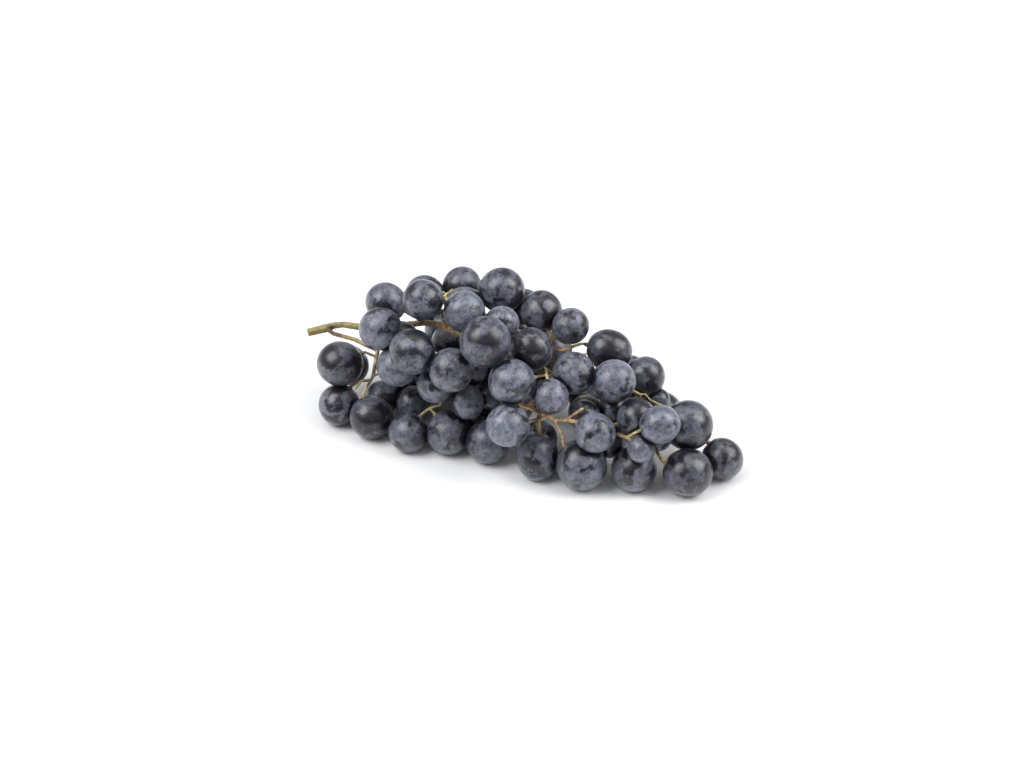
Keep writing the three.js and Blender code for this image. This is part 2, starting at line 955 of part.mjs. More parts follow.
// The ways run smoothly, clear of the berries
const shift = vec(0, 0, 0);
for (let round = 0; round < 40; round++) {
  for (const joint of joints) {
    if (joint.fixed) continue;
    const around = joint.parent ? [joint.parent, ...joint.children] : joint.children;
    shift.set(0, 0, 0);
    for (const other of around) shift.addScaledVector(other.place, 1 / around.length);
    joint.place.lerp(shift, 0.5);
    for (const berry of berries) {
      shift.subVectors(joint.place, berry.centre);
      const short = berry.radius + CLEAR + joint.radius + 0.1 - shift.length();
      if (short > 0) joint.place.add(shift.setLength(short));
    }
    joint.place.z = Math.max(joint.place.z, joint.radius + 0.4);
  }
  for (const joint of joints) {
    if (!joint.berry) continue;
    shift.subVectors(joint.parent.place, joint.berry.centre).setLength(joint.berry.radius + CLEAR);
    joint.place.copy(joint.berry.centre).add(shift);
  }
}

// A chain of joints with those left out that lie within a slack of the straight line
function thinned(chain, slack) {
  if (chain.length < 3) return chain;
  const line = new THREE.Line3(chain[0].place, chain.at(-1).place);
  let far = { distance: -1, at: 0 };
  for (let i = 1; i + 1 < chain.length; i++) {
    const distance = line.closestPointToPoint(chain[i].place, true, shift).distanceTo(chain[i].place);
    if (distance > far.distance) far = { distance, at: i };
  }
  if (far.distance < slack) return [chain[0], chain.at(-1)];
  const first = thinned(chain.slice(0, far.at + 1), slack);
  return [...first.slice(0, -1), ...thinned(chain.slice(far.at), slack)];
}

// Each chain runs on from a fork along what carries the most, to a berry or a loose end
const SLACK = 0.7;
const chains = [];
const starts = [[joints[0], joints[0].children[0]]];
for (const chain of starts) {
  const kept = [chain[0]];
  let run = [...chain];
  while (chain.at(-1).children.length) {
    const [next, ...others] = [...chain.at(-1).children].sort((p, q) => q.load - p.load);
    for (const other of others) starts.push([chain.at(-1), other]);
    if (others.length) {
      kept.push(...thinned(run, SLACK).slice(1));
      run = [chain.at(-1)];
    }
    chain.push(next);
    run.push(next);
  }
  // The last stretch to a berry stays straight out of its skin
  const last = chain.at(-1).berry && run.length > 2 ? run.pop() : null;
  kept.push(...thinned(run, SLACK).slice(1));
  if (last) kept.push(last);
  chains.push(kept);
}

// The thickest that each kept joint can be, by the room along its stretches
const THINNEST = 0.3;
const TUBE_CLEAR = 0.32; // between a tube and a berry
for (const joint of joints) joint.thick = joint.radius;
for (const chain of chains) {
  for (let i = 0; i + 1 < chain.length; i++) {
    const line = new THREE.Line3(chain[i].place, chain[i + 1].place);
    const own = chain[i + 1].berry;
    let least = Infinity;
    for (const berry of berries) {
      if (berry === own) continue;
      const gap = line.closestPointToPoint(berry.centre, true, shift).distanceTo(berry.centre);
      least = Math.min(least, gap - berry.radius - TUBE_CLEAR);
    }
    least = Math.max(least, THINNEST);
    for (const joint of [chain[i], chain[i + 1]]) joint.thick = Math.min(joint.thick, least);
  }
}

// A round tube through stations [place, radius], closed at both ends
function tube(stations, sides) {
  const points = [];
  const faces = [];
  const side = vec(0, 0, 0);
  const heading = vec(0, 0, 0);
  stations.forEach(([place, radius], i) => {
    const from = stations[Math.max(0, i - 1)][0];
    const to = stations[Math.min(stations.length - 1, i + 1)][0];
    heading.subVectors(to, from).normalize();
    if (i === 0) side.copy(Math.abs(heading.z) < 0.8 ? vec(0, 0, 1) : vec(1, 0, 0));
    side.addScaledVector(heading, -side.dot(heading)).normalize();
    const other = heading.clone().cross(side);
    for (let k = 0; k < sides; k++) {
      const angle = (2 * Math.PI * k) / sides;
      points.push(
        place
          .clone()
          .addScaledVector(side, radius * Math.cos(angle))
          .addScaledVector(other, radius * Math.sin(angle)),
      );
      if (i > 0) {
        const next = (k + 1) % sides;
        const [a, b] = [(i - 1) * sides + k, (i - 1) * sides + next];
        faces.push([a, b, b + sides], [a, b + sides, a + sides]);
      }
    }
  });
  const top = (stations.length - 1) * sides;
  for (let k = 1; k + 1 < sides; k++) faces.push([0, k + 1, k], [top, top + k, top + k + 1]);
  return solidOf(points, faces);
}

function solidOf(points, faces) {
  return new wasm.Manifold(
    new wasm.Mesh({
      numProp: 3,
      vertProperties: new Float32Array(points.flatMap((p) => p.toArray())),
      triVerts: new Uint32Array(faces.flat()),
    }),
  );
}

// A three.js geometry as a solid, and back
function toSolid(geometry) {
  const bare = new THREE.BufferGeometry().setAttribute("position", geometry.getAttribute("position"));
  if (geometry.index) bare.setIndex(geometry.index);
  const merged = mergeVertices(bare, 1e-4);
  return new wasm.Manifold(
    new wasm.Mesh({
      numProp: 3,
      vertProperties: merged.attributes.position.array,
      triVerts: new Uint32Array(merged.index.array),
    }),
  );
}
function toMesh(solid, name, look) {
  const data = solid.getMesh();
  const geometry = new THREE.BufferGeometry()
    .setAttribute("position", new THREE.BufferAttribute(new Float32Array(data.vertProperties), 3))
    .setIndex(new THREE.BufferAttribute(new Uint32Array(data.triVerts), 1));
  const mesh = new THREE.Mesh(geometry, new THREE.MeshStandardMaterial(look));
  mesh.name = name;
  return mesh;
}

// The stem: its tubes, and a knot at each fork
const FLARE = 1.35; // the most that a stalk's end at its berry is in radius
const FLARE_OUT = 0.6; // how much wider it is than the stalk
const FLARE_LENGTH = 1.3;
const KNOT = 1.2; // of the tube's radius
const pieces = [];
for (const chain of chains) {
  const end = chain.at(-1);
  const stations = chain.map((joint, i) => {
    return [joint.place, Math.min(joint.thick, chain[Math.max(i, 1)].radius)];
  });
  if (end.berry) {
    const foot = stations.at(-2)[0];
    const length = foot.distanceTo(end.place);
    const thin = stations.at(-1)[1];
    const wide = Math.min(FLARE, Math.max(thin, end.thick + FLARE_OUT));
    stations.pop();
    if (length > 0.4) {
      const flare = Math.min(FLARE_LENGTH, 0.7 * length);
      stations.push([end.place.clone().lerp(foot, flare / length), thin]);
    }
    stations.push([end.place, wide]);
  }
  const load = chain[1].load;
  pieces.push(tube(stations, load > 12 ? 7 : load > 2 ? 5 : 4));
  const knot = Math.min(chain[0].thick, 1.3 * stations[0][1]);
  if (chain[0].parent && load > 3) {
    const ball = new THREE.IcosahedronGeometry(KNOT * knot, 0);
    pieces.push(toSolid(ball.translate(...chain[0].place.toArray())));
  }
}
const stem = wasm.Manifold.union(pieces);

// The berries, pressed together, and flat where they lie on the table
const table = toSolid(new THREE.BoxGeometry(600, 600, 40).translate(0, 0, -20));
const bodies = { stem };
for (const name of [...new Set(berries.map((b) => b.cluster))].sort()) {
  const list = clusterOf(name);
  const balls = list.map((berry) => {
    const ball = new THREE.IcosahedronGeometry(berry.radius, isCoarse(berry) ? COARSE_DETAIL : DETAIL);
    return toSolid(ball.translate(...berry.centre.toArray()));
  });
  bodies[name] = wasm.Manifold.union(balls).subtract(table);
}

// The middle of the bunch's foot is the origin
const box = new THREE.Box3();
for (const solid of Object.values(bodies)) {
  const { min, max } = solid.boundingBox();
  box.union(new THREE.Box3(vec(...min), vec(...max)));
}
const centre = box.getCenter(vec(0, 0, 0));
const bunch = new THREE.Group();
bunch.name = "bunch_of_grapes";
for (const [name, solid] of Object.entries(bodies)) {
  const moved = solid.translate([-centre.x, -centre.y, -box.min.z]);
  bunch.add(toMesh(moved, name, name === "stem" ? BARK : SKIN));
}
export default bunch;
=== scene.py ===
# A bunch of black table grapes lying on a pale surface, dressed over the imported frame.
# Lengths are in millimetres in this script, in the frame's own axes, and scaled to metres where
# Blender takes them. Lights are placed in metres.
import math
import random

import bmesh
import bpy
import numpy as np
from mathutils import Matrix, Vector, noise


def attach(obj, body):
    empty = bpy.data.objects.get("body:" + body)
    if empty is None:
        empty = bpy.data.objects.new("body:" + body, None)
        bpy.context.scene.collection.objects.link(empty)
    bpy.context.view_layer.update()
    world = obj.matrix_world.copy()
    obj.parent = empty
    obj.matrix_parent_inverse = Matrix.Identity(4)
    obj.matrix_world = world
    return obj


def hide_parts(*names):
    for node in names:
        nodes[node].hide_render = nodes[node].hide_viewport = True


MM = 0.001
SEED = 20

# The photograph's camera
PHOTO_WIDTH = 1024  # px
PHOTO_HEIGHT = 768  # px
FOCAL = 2000  # px
DISTANCE = 1000
AZIMUTH = math.radians(25)
ELEVATION = math.radians(35)
AIM = Vector((-17.83, 25.58, 0))
SENSOR = 36
NEAR_CLIP = 0.05  # m
RIGHT = Vector((math.cos(AZIMUTH), math.sin(AZIMUTH), 0))
TOWARDS = Vector((math.sin(AZIMUTH), -math.cos(AZIMUTH), 0))
BACK = TOWARDS * math.cos(ELEVATION) + Vector((0, 0, math.sin(ELEVATION)))
UP = BACK.cross(RIGHT)
EYE = AIM + BACK * DISTANCE

# Places in the photograph, px: berries with the thickest bloom, with the thinnest, and the longest
THICK_BLOOM = (
    (506, 424),
    (641, 447),
    (594, 432),
    (553, 395),
    (462, 309),
    (378, 327),
    (505, 319),
    (658, 423),
    (615, 382),
    (423, 390),
)
THIN_BLOOM = (
    (342, 361),
    (487, 342),
    (686, 475),
    (694, 424),
    (723, 455),
    (648, 375),
    (372, 417),
    (532, 348),
    (608, 347),
)
LONG_BERRIES = ((537, 456), (608, 347))

# Places in the photograph, px, where the bark is orange-brown, and how far round each it goes
RUSTY_PLACES = (
    (526, 407),
    (545, 414),
    (563, 420),
    (577, 418),
    (562, 436),
    (566, 442),
    (661, 456),
    (667, 465),
    (440, 327),
    (708, 443),
    (620, 434),
    (560, 345),
)
RUSTY_REACH = 15

# The same for bark that is dark brown, and for stalks deep in the bunch that are painted dark as
# shade
DARK_AND_SHADE_PLACES = (
    (331, 331),
    (336, 334),
    (364, 352),
    (370, 354),
    (374, 370),
    (373, 378),
    (369, 381),
    (612, 432),
    (551, 342),
    (553, 351),
    (554, 360),
    (553, 367),
    (540, 372),
    (583, 391),
    (536, 416),
)
DARK_REACH = 8

# How a ball is told from a fused cluster's vertices
DECIMALS = 3  # vertices alike to so many are one
FEWEST_AROUND = 5  # vertices that a ball can be fitted through
UNKNOWNS = 4  # of a ball: its centre and radius
MISFIT = 0.01  # the most that a vertex and its neighbours may be off their ball
SAME_CENTRE = 0.4  # balls closer than this, and as alike in radius as the next, are one
SAME_RADIUS = 0.3
FEWEST_VOTES = 4  # vertices that have to agree on a ball
RADII = (4.8, 13.0)  # of the berries in the frame

# Berries
FINENESS = 4  # subdivisions of the ball that each is made from
SWELL = 0.14  # how much fuller a berry is than its solid, so that neighbours touch
SKIN_GAP = 0.015
TOUCH_ROOM = 0.5  # berries further apart than this don't press on each other
OPEN_GAP = 12.0  # from this far away a neighbour doesn't matter
OVALS = (0.0, 0.05)  # how much longer a berry is than round, as a share
LONG_OVAL = 0.12
OVAL_MIDDLE = 0.6  # the square of the height at which a long berry keeps its radius
BULGES = 3
BULGE_HEIGHT = 0.006  # of the radius
BULGE_WAVES = 2.2
DIMPLE_DEPTH = 0.7
DIMPLE_WIDTH = 0.2  # as an angle from the stalk, in radians
TIP_DEPTH = 0.12
TIP_WIDTH = 0.12  # as an angle from the tip, in radians
BLOOMS = (0.68, 0.95)  # thickness of the bloom on most berries
THICKEST = 1.0
THINNEST = 0.58

# Stem
REACH = 0.75  # how far past a skin the end of a stalk is still that berry's
PLUG_RADIUS = 1.1
PLUG_TAPER = 0.75  # radius at its inner end, as a share
PLUG_LENGTH = 1.9
PLUG_OUT = 0.5  # how far its end stands past the skin
PLUG_SIDES = 10
STEM_GRAIN = 0.3  # voxel size of the rounded stem
ROUNDING = 3  # rounds of smoothing
ROUNDING_SHARE = 0.5
BARK_GROWTH = 0.17  # what the rounding takes off
RIDGE_SCALE = Vector((0.25, 1.6, 1.6))  # ridges run along the bunch
RIDGE_HEIGHT = 0.07
LUMP_SCALE = 0.9
LUMP_HEIGHT = 0.06
FAR_AWAY = 99.0

# Colours of the skin
BARE_BLUE = (0.004, 0.005, 0.010)
BARE_PURPLE = (0.009, 0.005, 0.010)
BLOOM_DEEP = (0.17, 0.186, 0.247)
BLOOM_PALE = (0.25, 0.264, 0.322)
SCAR_BROWN = (0.02, 0.015, 0.013)
WAX_SHEEN = (0.62, 0.68, 0.85)

# Colours of the bark
TAN_DEEP = (0.21, 0.165, 0.06)
TAN_PALE = (0.47, 0.38, 0.155)
RUST = (0.42, 0.19, 0.06)
OLIVE = (0.25, 0.26, 0.085)
GREEN = (0.45, 0.49, 0.16)
# Painted light: a pale tan that lifts the stalks inside the bunch out of their shade
PAINTED_LIGHT_STRAW = (0.72, 0.61, 0.36)
ORANGE_BROWN = (0.78, 0.48, 0.25)
# Dark brown bark, and painted shade on the stalks deep in the bunch
DARK_BROWN_AND_SHADE = (0.05, 0.025, 0.015)
BLOTCH_BROWN = (0.18, 0.1, 0.05)
RING_BROWN = (0.24, 0.12, 0.045)
LENTICEL_BROWN = (0.10, 0.055, 0.025)
CUT_PINK = (0.34, 0.17, 0.105)

# Studio
FLOOR_HALF = 6.0  # m
FLOOR_WHITE = (0.93, 0.93, 0.93)
SKY_WHITE = (0.94, 0.97, 1.0)
SURROUNDINGS = 0.47  # strength of the white surroundings
DARK_SHARE = 0.04  # what is left of it low down on the camera's side


def spheres_in(obj):
    """The balls that a fused cluster is made of, read off its vertices and their neighbours."""
    points = np.array([v.co for v in obj.data.vertices], float) / MM
    keys, inverse = np.unique(np.round(points, DECIMALS), axis=0, return_inverse=True)
    inverse = inverse.reshape(-1)
    around = [set() for _ in keys]
    for polygon in obj.data.polygons:
        ring = [int(inverse[i]) for i in polygon.vertices]
        for i in ring:
            around[i].update(ring)
    found = []
    for ring in around:
        if len(ring) < FEWEST_AROUND:
            continue
        near = keys[sorted(ring)]
        middle = near.mean(0)
        local = near - middle
        rows = np.c_[2 * local, np.ones(len(local))]
        answer, _, rank, _ = np.linalg.lstsq(rows, (local**2).sum(1), rcond=None)
        if rank < UNKNOWNS:
            continue
        radius = math.sqrt(max(answer[3] + (answer[:3] ** 2).sum(), 0))
        centre = answer[:3] + middle
        misfit = np.abs(np.linalg.norm(near - centre, axis=1) - radius).max()
        if misfit > MISFIT or not RADII[0] < radius < RADII[1]:
            continue
        for other in found:
            apart = np.linalg.norm(other["centre"] - centre)
            if apart < SAME_CENTRE and abs(other["radius"] - radius) < SAME_RADIUS:
                other["votes"].append((centre, radius))
                break
        else:
            found.append({"centre": centre, "radius": radius, "votes": [(centre, radius)]})
    balls = []
    for ball in found:
        if len(ball["votes"]) < FEWEST_VOTES:
            continue
        centre = np.median([vote[0] for vote in ball["votes"]], axis=0)
        radius = float(np.median([vote[1] for vote in ball["votes"]]))
        balls.append({"centre": centre, "radius": radius, "node": obj.name})
    return balls


def find_stalks(berries, stem):
    """Gives each berry the side that its stalk is on: the stem's nearest end, or its nearest way."""
    stem_points = np.array([v.co for v in stem.data.vertices], float) / MM
    for berry in berries:
        off = stem_points - berry["centre"]
        away = np.linalg.norm(off, axis=1)
        close = away < berry["radius"] + REACH
        berry["held"] = bool(close.any())
        side = off[close].mean(0) if berry["held"] else off[away.argmin()]
        berry["axis"] = side / np.linalg.norm(side)


def seen_at(point):
    """Where a point shows in the photograph, in pixels, and how far away it is."""
    off = Vector(point) - EYE
    depth = -off.dot(BACK)
    return (
        PHOTO_WIDTH / 2 + FOCAL * off.dot(RIGHT) / depth,
        PHOTO_HEIGHT / 2 - FOCAL * off.dot(UP) / depth,
        depth,
    )


def listed(berry, berries, places):
    """Whether a berry is the front one at one of the places in a list of the photograph's pixels."""
    for place in places:
        under = [b for b in berries if math.dist(b["shown"][:2], place) < b["radius"]]
        if under and min(under, key=lambda b: b["shown"][2]) is berry:
            return True
    return False


def give_traits(berries):
    """Gives each berry its own turn, shape, tone and thickness of bloom."""
    chance = random.Random(SEED)
    for berry in berries:
        berry["shown"] = seen_at(berry["centre"])
    for berry in berries:
        berry["spin"] = chance.uniform(0, 2 * math.pi)
        berry["oval"] = chance.uniform(*OVALS)
        berry["bulges"] = []
        for _ in range(BULGES):
            way = Vector([chance.gauss(0, 1) for _ in range(3)])
            berry["bulges"].append(way.normalized())
        thickness = chance.uniform(*BLOOMS)
        if listed(berry, berries, THICK_BLOOM):
            thickness = THICKEST
        if listed(berry, berries, THIN_BLOOM):
            thickness = THINNEST
        if listed(berry, berries, LONG_BERRIES):
            berry["oval"] = LONG_OVAL
        berry["tone"] = [chance.random(), chance.random(), chance.random(), thickness]


def unit_ball():
    """Directions and faces of a fine ball."""
    mesh = bmesh.new()
    bmesh.ops.create_icosphere(mesh, subdivisions=FINENESS, radius=1)
    directions = np.array([v.co for v in mesh.verts], float)
    directions /= np.linalg.norm(directions, axis=1)[:, None]
    faces = np.array([[v.index for v in f.verts] for f in mesh.faces], int)
    mesh.free()
    return directions, faces


def turned_to(axis, spin):
    """A rotation that takes +Z to an axis, turned about it by a spin."""
    turn = Vector((0, 0, 1)).rotation_difference(Vector(axis)).to_matrix()
    return np.array(turn @ Matrix.Rotation(spin, 3, "Z"))


def skin_of(berry, berries, directions):
    """One berry's points: a little oval and uneven, dimpled at its stalk, flat where others press."""
    turn = turned_to(berry["axis"], berry["spin"])
    height = directions[:, 2]
    reach = np.full(len(directions), berry["radius"] + SWELL)
    reach *= 1 + berry["oval"] * (height**2 - OVAL_MIDDLE)
    for bulge in berry["bulges"]:
        off = np.arccos(np.clip(directions @ bulge, -1, 1))
        reach *= 1 + BULGE_HEIGHT * np.cos(BULGE_WAVES * off)
    top = np.arccos(np.clip(height, -1, 1))
    if berry["held"]:
        reach -= DIMPLE_DEPTH * np.exp(-((top / DIMPLE_WIDTH) ** 2))
    reach -= TIP_DEPTH * np.exp(-(((math.pi - top) / TIP_WIDTH) ** 2))
    points = berry["centre"] + (directions * reach[:, None]) @ turn.T
    for other in berries:
        between = other["centre"] - berry["centre"]
        gap = np.linalg.norm(between)
        if other is berry or gap > berry["radius"] + other["radius"] + 2 * SWELL + TOUCH_ROOM:
            continue
        normal = between / gap
        meet = (gap**2 + berry["radius"] ** 2 - other["radius"] ** 2) / (2 * gap) - SKIN_GAP
        past = (points - berry["centre"]) @ normal - meet
        points -= np.clip(past, 0, None)[:, None] * normal
    # Flat on the table
    points[:, 2] = np.clip(points[:, 2], 0, None)
    return points


def gap_to_others(berry, berries, points):
    """How far each point of a berry is from the nearest other berry."""
    nearest = np.full(len(points), OPEN_GAP)
    for other in berries:
        apart = np.linalg.norm(other["centre"] - berry["centre"])
        if other is berry or apart > 2 * RADII[1] + OPEN_GAP:
            continue
        away = np.linalg.norm(points - other["centre"], axis=1) - other["radius"]
        nearest = np.minimum(nearest, np.clip(away, 0, None))
    return nearest


def note(mesh, name, kind, field, values):
    """Keeps values at a mesh's points, for its material."""
    kept = mesh.attributes.new(name, kind, "POINT")
    kept.data.foreach_set(field, np.asarray(values, np.float32).ravel())


def new_object(name, mesh):
    """An object in the scene."""
    made = bpy.data.objects.new(name, mesh)
    bpy.context.scene.collection.objects.link(made)
    return made


def cluster_piece(node, berries, ball):
    """One piece for a node's berries, with each one's own surface coordinates and tone."""
    directions, ball_faces = ball
    members = [berry for berry in berries if berry["node"] == node]
    points = []
    faces = []
    surface = []
    tone = []
    gap = []
    for count, berry in enumerate(members):
        points.append(skin_of(berry, berries, directions))
        faces.append(ball_faces + count * len(directions))
        surface.append(directions * berry["radius"])
        tone.append(np.tile(berry["tone"], (len(directions), 1)))
        gap.append(gap_to_others(berry, berries, points[-1]))
    mesh = bpy.data.meshes.new("skins_" + node)
    mesh.from_pydata((np.concatenate(points) * MM).tolist(), [], np.concatenate(faces).tolist())
    mesh.polygons.foreach_set("use_smooth", [True] * len(mesh.polygons))
    note(mesh, "skin_place", "FLOAT_VECTOR", "vector", np.concatenate(surface))
    note(mesh, "skin_tone", "FLOAT_COLOR", "color", np.concatenate(tone))
    note(mesh, "skin_gap", "FLOAT", "value", np.concatenate(gap))
    return new_object("skins_" + node, mesh)


def plugged_stem(berries, stem):
    """The frame's stem, with a short plug from inside each dimple to the end of its stalk."""
    mesh = bmesh.new()
    mesh.from_mesh(stem.data)
    for berry in berries:
        if not berry["held"]:
            continue
        middle = Vector(berry["centre"]) * MM
        out = Vector(berry["axis"])
        turn = out.to_track_quat("Z", "Y").to_matrix().to_4x4()
        reach = berry["radius"] + PLUG_OUT - PLUG_LENGTH / 2
        bmesh.ops.create_cone(
            mesh,
            cap_ends=True,
            segments=PLUG_SIDES,
            radius1=PLUG_RADIUS * PLUG_TAPER * MM,
            radius2=PLUG_RADIUS * MM,
            depth=PLUG_LENGTH * MM,
            matrix=Matrix.Translation(middle + out * reach * MM) @ turn,
        )
    data = bpy.data.meshes.new("stem_wood")
    mesh.to_mesh(data)
    mesh.free()
    return new_object("stem_wood", data)


def round_off(piece):
    """Joins a piece's parts into one smooth surface."""
    remesh = piece.modifiers.new("remesh", "REMESH")
    remesh.mode = "VOXEL"
    remesh.voxel_size = STEM_GRAIN * MM
    remesh.use_smooth_shade = True
    smooth = piece.modifiers.new("smooth", "SMOOTH")
    smooth.factor = ROUNDING_SHARE
    smooth.iterations = ROUNDING
    depsgraph = bpy.context.evaluated_depsgraph_get()
    final = bpy.data.meshes.new_from_object(piece.evaluated_get(depsgraph))
    piece.modifiers.clear()
    piece.data = final
    final.polygons.foreach_set("use_smooth", [True] * len(final.polygons))


def grow_bark(mesh):
    """Moves points out by what the rounding took, and by ridges along the bunch and small bumps."""
    moved = np.empty(len(mesh.vertices) * 3)
    for vertex in mesh.vertices:
        place = vertex.co / MM
        ridge = noise.noise(place * RIDGE_SCALE)
        lump = noise.noise(place * LUMP_SCALE)
        growth = BARK_GROWTH + RIDGE_HEIGHT * ridge + LUMP_HEIGHT * lump
        grown = vertex.co + vertex.normal * growth * MM
        grown.z = max(grown.z, 0)
        moved[vertex.index * 3 : vertex.index * 3 + 3] = grown
    mesh.vertices.foreach_set("co", moved)
    mesh.update()


def nearness(shown, places, reach):
    """How near points in the picture are to some places: 1 at one of them, 0 from a reach away."""
    away = np.linalg.norm(shown[:, None] - np.array(places, float), axis=2).min(axis=1)
    return np.clip(1 - away / reach, 0, 1)


def note_age_and_shade(mesh, berries):
    """Keeps how far each point is from a skin and from the cut end, how rusty it is, and how dark:
    dark bark in places, painted shade deep in the bunch.
    """
    points = np.array([v.co for v in mesh.vertices], float) / MM
    nearest = np.full(len(points), FAR_AWAY)
    for berry in berries:
        if berry["held"]:
            joint = berry["centre"] + berry["axis"] * berry["radius"]
            nearest = np.minimum(nearest, np.linalg.norm(points - joint, axis=1))
    from_cut = points[:, 0] - points[:, 0].min()
    shown = np.array([seen_at(point)[:2] for point in points])
    rusty = nearness(shown, RUSTY_PLACES, RUSTY_REACH)
    dark = nearness(shown, DARK_AND_SHADE_PLACES, DARK_REACH)
    note(mesh, "stem_age_and_shade", "FLOAT_COLOR", "color", np.c_[nearest, from_cut, rusty, dark])


def rounded_stem(berries, stem):
    """The stem: the frame's tubes rounded, grown into the dimples, knobbly at the forks."""
    piece = plugged_stem(berries, stem)
    round_off(piece)
    grow_bark(piece.data)
    note_age_and_shade(piece.data, berries)
    return piece


class Nodes:
    """A node tree, with short ways to add to it."""

    def __init__(self, tree):
        self.tree = tree

    def node(self, kind, **settings):
        made = self.tree.nodes.new(kind)
        for key, value in settings.items():
            setattr(made, key, value)
        return made

    def join(self, source, target):
        self.tree.links.new(source, target)

    def feed(self, socket, value):
        """A number, a vector or another node's output, into a socket."""
        if isinstance(value, (int, float, tuple)):
            socket.default_value = value
        else:
            self.join(value, socket)

    def attribute(self, name):
        return self.node("ShaderNodeAttribute", attribute_name=name).outputs

    def split(self, source):
        made = self.node("ShaderNodeSeparateXYZ")
        self.join(source, made.inputs[0])
        return made.outputs

    def maths(self, operation, first, second):
        made = self.node("ShaderNodeMath", operation=operation)
        self.feed(made.inputs[0], first)
        self.feed(made.inputs[1], second)
        return made.outputs[0]

    def total(self, first, second):
        return self.maths("ADD", first, second)

    def product(self, first, second):
        return self.maths("MULTIPLY", first, second)

    def vector(self, operation, first, second=(0, 0, 0), output="Vector"):
        made = self.node("ShaderNodeVectorMath", operation=operation)
        self.feed(made.inputs[0], first)
        self.feed(made.inputs[1], second)
        return made.outputs[output]

    def noise(self, place, scale, detail=3.0, roughness=0.55, distortion=0.0):
        made = self.node("ShaderNodeTexNoise")
        self.join(place, made.inputs["Vector"])
        made.inputs["Scale"].default_value = scale
        made.inputs["Detail"].default_value = detail
        made.inputs["Roughness"].default_value = roughness
        made.inputs["Distortion"].default_value = distortion
        return made.outputs[0]

    def ramp(self, source, start, end, first=0.0, last=1.0, shape="SMOOTHSTEP"):
        """Goes from first to last while the source goes from start to end."""
        made = self.node("ShaderNodeMapRange", interpolation_type=shape)
        self.join(source, made.inputs["Value"])
        made.inputs["From Min"].default_value = start
        made.inputs["From Max"].default_value = end
        made.inputs["To Min"].default_value = first
        made.inputs["To Max"].default_value = last
        return made.outputs[0]

    def blend(self, share, first, second):
        """Two colours, with a share of the second."""
        made = self.node("ShaderNodeMix", data_type="RGBA")
        self.join(share, made.inputs[0])
        for socket, value in ((made.inputs[6], first), (made.inputs[7], second)):
            self.feed(socket, (*value, 1) if isinstance(value, tuple) else value)
        return made.outputs[2]


class Material(Nodes):
    """A material's node tree, and its one surface shader."""

    def __init__(self, name):
        self.material = bpy.data.materials.new(name)
        self.material.use_nodes = True
        super().__init__(self.material.node_tree)
        self.surface = self.tree.nodes["Principled BSDF"]

    def set(self, name, value):
        self.feed(self.surface.inputs[name], value)

    def bump(self, height, strength, distance):
        made = self.node("ShaderNodeBump")
        made.inputs["Strength"].default_value = strength
        made.inputs["Distance"].default_value = distance
        self.join(height, made.inputs["Height"])
        self.set("Normal", made.outputs[0])


